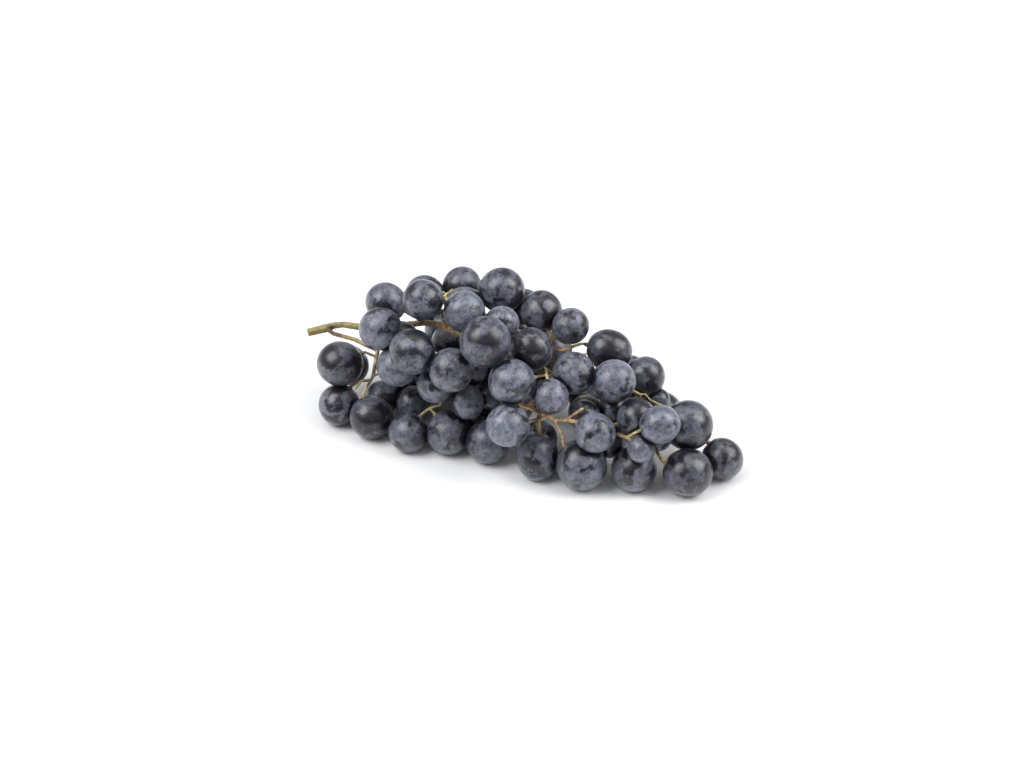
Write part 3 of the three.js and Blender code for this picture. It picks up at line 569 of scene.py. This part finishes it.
def grape_skin():
    """Near-black blue skin under a waxy bloom: patchy, streaked, speckled, rubbed off in places."""
    m = Material("grape_skin")
    place = m.attribute("skin_place")["Vector"]
    traits = m.attribute("skin_tone")
    tone = m.split(traits["Color"])
    thickness = traits["Alpha"]
    gap = m.attribute("skin_gap")["Fac"]
    # Each berry has its own part of the noise
    spread = m.node("ShaderNodeCombineXYZ")
    for index in range(3):
        m.join(m.product(tone[index], 400.0), spread.inputs[index])
    own = m.vector("ADD", place, spread.outputs[0])

    # Rubbed patches: ragged islands, more of them under thin bloom and where neighbours press; near
    # neighbours the bare skin is also painted shade in the crevices between berries
    broad = m.noise(own, scale=0.095, detail=1.0, roughness=0.5, distortion=0.8)
    edge = m.noise(own, scale=0.42, detail=4.0, roughness=0.62, distortion=0.8)
    uneven = m.total(m.product(broad, 0.66), m.product(edge, 0.34))
    # More bare skin near neighbours: rubbed where they press, and painted shade in the crevice
    # between them
    pressed_and_shaded = m.ramp(gap, 0.2, 4.2, first=0.19, last=0.0)
    bar = m.total(m.ramp(thickness, 0.4, 1.0, first=0.52, last=0.42), pressed_and_shaded)
    kept = m.ramp(m.maths("SUBTRACT", uneven, bar), -0.028, 0.036)

    # Finer mottling, streaks and speckles in the bloom
    mottle = m.noise(own, scale=0.4, detail=5.0, roughness=0.62, distortion=0.5)
    mottle = m.ramp(mottle, 0.36, 0.6, first=0.42)
    cloud = m.noise(own, scale=0.16, detail=2.0, roughness=0.5, distortion=0.7)
    cloud = m.ramp(cloud, 0.3, 0.68, first=0.6)
    long_way = m.vector("MULTIPLY", own, (1.6, 1.6, 0.22))
    streak = m.noise(long_way, scale=1.1, detail=3.0, roughness=0.6, distortion=0.4)
    streak = m.ramp(streak, 0.54, 0.7, first=1.0, last=0.55)
    fleck = m.noise(own, scale=2.2, detail=3.0, roughness=0.6)
    fleck = m.ramp(fleck, 0.58, 0.7, first=1.0, last=0.6)
    cover = m.product(m.product(mottle, streak), m.product(fleck, cloud))

    # How much bloom there is, with a little left in the patches and none at a contact, where the bare
    # skin is also painted shade between the berries
    clear_of_contact_wear_and_shade = m.ramp(gap, 0.15, 1.7, first=0.1)
    full = m.product(m.product(cover, thickness), clear_of_contact_wear_and_shade)
    density = m.product(full, m.total(m.product(kept, 0.92), 0.04))
    bare = m.blend(tone[2], BARE_BLUE, BARE_PURPLE)
    bloom = m.blend(m.noise(own, scale=0.2), BLOOM_DEEP, BLOOM_PALE)
    colour = m.blend(density, bare, bloom)

    # The scar at the tip, told by the share of the radius that a point is below the middle
    height = m.split(place)[2]
    share = m.maths("DIVIDE", height, m.vector("LENGTH", place, output="Value"))
    scar = m.ramp(share, -0.9992, -0.9975, first=1.0, last=0.0)
    colour = m.blend(m.product(scar, 0.8), colour, SCAR_BROWN)

    m.set("Base Color", colour)
    m.set("Roughness", m.ramp(density, 0.1, 0.8, first=0.28, last=0.42))
    m.set("IOR", 1.44)
    m.set("Coat Weight", 0.5)
    m.set("Coat Roughness", 0.33)
    m.set("Sheen Weight", 0.16)
    m.set("Sheen Roughness", 0.35)
    m.set("Sheen Tint", (*WAX_SHEEN, 1))
    grain = m.noise(own, scale=1.2, detail=4.0, roughness=0.6)
    m.bump(m.total(m.product(density, 0.5), grain), strength=0.12, distance=0.0004)
    return m.material


def stem_wood():
    """Tan to olive bark, orange-brown in places, green towards the berries, pinkish at the cut."""
    m = Material("stem_wood")
    place = m.vector("MULTIPLY", m.node("ShaderNodeTexCoord").outputs["Object"], (1 / MM,) * 3)
    traits = m.attribute("stem_age_and_shade")
    age = m.split(traits["Color"])
    from_skin = age[0]
    from_cut = age[1]
    rusty = age[2]
    dark = traits["Alpha"]

    # Tan, with rusty and olive areas
    colour = m.blend(m.noise(place, scale=0.35, detail=4.0, roughness=0.6), TAN_DEEP, TAN_PALE)
    rust = m.ramp(m.noise(place, scale=0.16, roughness=0.6), 0.5, 0.68)
    colour = m.blend(m.product(rust, 0.65), colour, RUST)
    olive = m.ramp(m.noise(place, scale=0.22, roughness=0.6, distortion=0.5), 0.46, 0.62)
    colour = m.blend(m.product(olive, 0.7), colour, OLIVE)

    # Green towards the berries, and paler inside the bunch than at the bare end: painted light that
    # lifts the stalks out of the bunch's shade
    colour = m.blend(m.ramp(from_skin, 2.0, 10.0, first=0.75, last=0.0), colour, GREEN)
    colour = m.blend(m.ramp(from_cut, 22.0, 45.0, last=0.6), colour, PAINTED_LIGHT_STRAW)

    # Orange-brown and dark brown where the photograph has them; the dark brown on stalks deep in the
    # bunch is painted shade
    colour = m.blend(m.ramp(rusty, 0.0, 0.6, last=0.75), colour, ORANGE_BROWN)
    colour = m.blend(m.ramp(dark, 0.0, 0.5, last=0.85), colour, DARK_BROWN_AND_SHADE)

    # Blotches, the ring round the stalk at a berry, lenticels and the cut
    blotch = m.noise(place, scale=0.55, detail=4.0, roughness=0.65, distortion=0.4)
    colour = m.blend(m.ramp(blotch, 0.36, 0.56, first=0.7, last=0.0), colour, BLOTCH_BROWN)
    colour = m.blend(m.ramp(from_skin, 0.6, 2.2, first=0.75, last=0.0), colour, RING_BROWN)
    lenticel = m.ramp(m.noise(place, scale=1.9, detail=2.0, roughness=0.5), 0.6, 0.7)
    colour = m.blend(m.product(lenticel, 0.6), colour, LENTICEL_BROWN)
    colour = m.blend(m.ramp(from_cut, 0.5, 1.4, first=0.9, last=0.0), colour, CUT_PINK)

    m.set("Base Color", colour)
    m.set("Roughness", 0.5)
    grain = m.noise(place, scale=1.3, detail=4.0, roughness=0.65)
    m.bump(m.total(grain, m.product(lenticel, 0.6)), strength=0.5, distance=0.0003)
    return m.material


def pale_floor():
    """The white surface that the bunch lies on."""
    corners = [(x * FLOOR_HALF, y * FLOOR_HALF, 0) for x, y in ((-1, -1), (1, -1), (1, 1), (-1, 1))]
    mesh = bpy.data.meshes.new("floor")
    mesh.from_pydata(corners, [], [(0, 1, 2, 3)])
    floor = new_object("floor", mesh)
    m = Material("floor_white")
    m.set("Base Color", (*FLOOR_WHITE, 1))
    m.set("Roughness", 0.7)
    mesh.materials.append(m.material)


def soft_light(name, right, towards, height, size, power):
    """A large square light aimed at the bunch, placed as the camera sees it, in metres."""
    place = RIGHT * right + TOWARDS * towards + Vector((0, 0, height))
    data = bpy.data.lights.new(name, "AREA")
    data.shape = "SQUARE"
    data.size = size
    data.energy = power
    light = new_object(name, data)
    light.location = place
    light.rotation_euler = (-place).to_track_quat("-Z", "Y").to_euler()


def studio():
    """White surroundings, dark only low down on the camera's side."""
    world = bpy.data.worlds.new("studio")
    world.use_nodes = True
    n = Nodes(world.node_tree)
    way = n.node("ShaderNodeTexCoord").outputs["Generated"]
    ahead = n.vector("DOT_PRODUCT", way, tuple(TOWARDS), output="Value")
    low = n.ramp(n.split(way)[2], 0.2, 0.5, first=1.0, last=0.0)
    dark = n.product(n.ramp(ahead, 0.45, 0.85), low)
    dimmed = SURROUNDINGS * DARK_SHARE
    strength = n.ramp(dark, 0.0, 1.0, first=SURROUNDINGS, last=dimmed, shape="LINEAR")
    background = n.tree.nodes["Background"]
    n.feed(background.inputs["Color"], (*SKY_WHITE, 1))
    n.feed(background.inputs["Strength"], strength)
    bpy.context.scene.world = world


def camera():
    """The photograph's view."""
    data = bpy.data.cameras.new("camera")
    data.sensor_width = SENSOR
    data.lens = SENSOR * FOCAL / PHOTO_WIDTH
    data.clip_start = NEAR_CLIP
    eye = new_object("camera", data)
    turn = Matrix((RIGHT, UP, BACK)).transposed().to_4x4()
    eye.matrix_world = Matrix.Translation(EYE * MM) @ turn
    bpy.context.scene.camera = eye


# The frame, and what is read off it
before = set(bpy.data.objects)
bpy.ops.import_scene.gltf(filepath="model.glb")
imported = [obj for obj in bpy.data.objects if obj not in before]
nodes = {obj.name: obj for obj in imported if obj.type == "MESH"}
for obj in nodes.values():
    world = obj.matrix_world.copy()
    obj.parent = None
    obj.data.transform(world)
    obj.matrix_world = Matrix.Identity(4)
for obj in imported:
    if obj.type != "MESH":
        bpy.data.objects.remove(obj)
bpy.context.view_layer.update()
root = "root"
clusters = [name for name in sorted(nodes) if name != "stem"]
berries = []
for name in clusters:
    berries += spheres_in(nodes[name])
find_stalks(berries, nodes["stem"])
give_traits(berries)

# Berries, a piece for each cluster
skin = grape_skin()
ball = unit_ball()
for name in clusters:
    piece = cluster_piece(name, berries, ball)
    piece.data.materials.append(skin)
    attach(piece, root)
    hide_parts(name)

# Stem
wood = rounded_stem(berries, nodes["stem"])
wood.data.materials.append(stem_wood())
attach(wood, root)
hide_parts("stem")

# Floor, lights and camera
pale_floor()
soft_light("soft_left", right=-0.95, towards=0.3, height=1.2, size=1.05, power=18.5)
soft_light("soft_right", right=1.05, towards=0.1, height=1.05, size=1.05, power=17.5)
soft_light("soft_above", right=0, towards=-0.3, height=1.6, size=1.0, power=4)
studio()
camera()
bpy.context.scene.view_settings.view_transform = "Standard"
